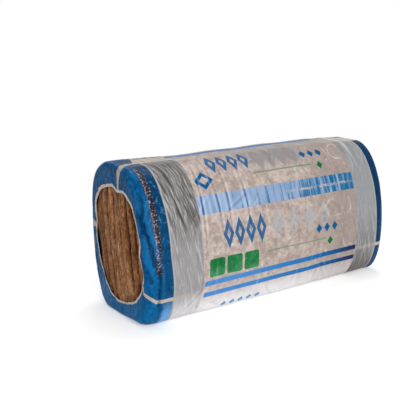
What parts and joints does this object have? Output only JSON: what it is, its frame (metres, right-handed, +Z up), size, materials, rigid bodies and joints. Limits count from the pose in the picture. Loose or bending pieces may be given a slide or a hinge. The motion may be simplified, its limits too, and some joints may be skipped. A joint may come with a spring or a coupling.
{
  "type": "pack of mineral wool boards",
  "caption": "Film-wrapped pack of mineral wool insulation boards standing on edge, rounded by the tight printed sleeve, with oval openings at the ends.",
  "frame": {"origin": "centre of the pack's footprint box, on the plane that it lies on", "axes": "+X along the boards' length, +Y from the side seen in front to the back, to which the tops lean, +Z up"},
  "size_m": [1.2526, 0.455, 0.6026],
  "materials": {
    "printed_film": "thin wrinkled polyethylene film, milky in the middle and printed in blue and grey",
    "mineral_wool": "brown matted mineral fibres"
  },
  "bodies": {
    "root": {"film_wrap": "printed_film", "board_01": "mineral_wool", "board_02": "mineral_wool", "board_03": "mineral_wool", "board_04": "mineral_wool", "board_05": "mineral_wool", "board_06": "mineral_wool", "board_07": "mineral_wool", "board_08": "mineral_wool", "board_09": "mineral_wool"}
  },
  "joints": []
}
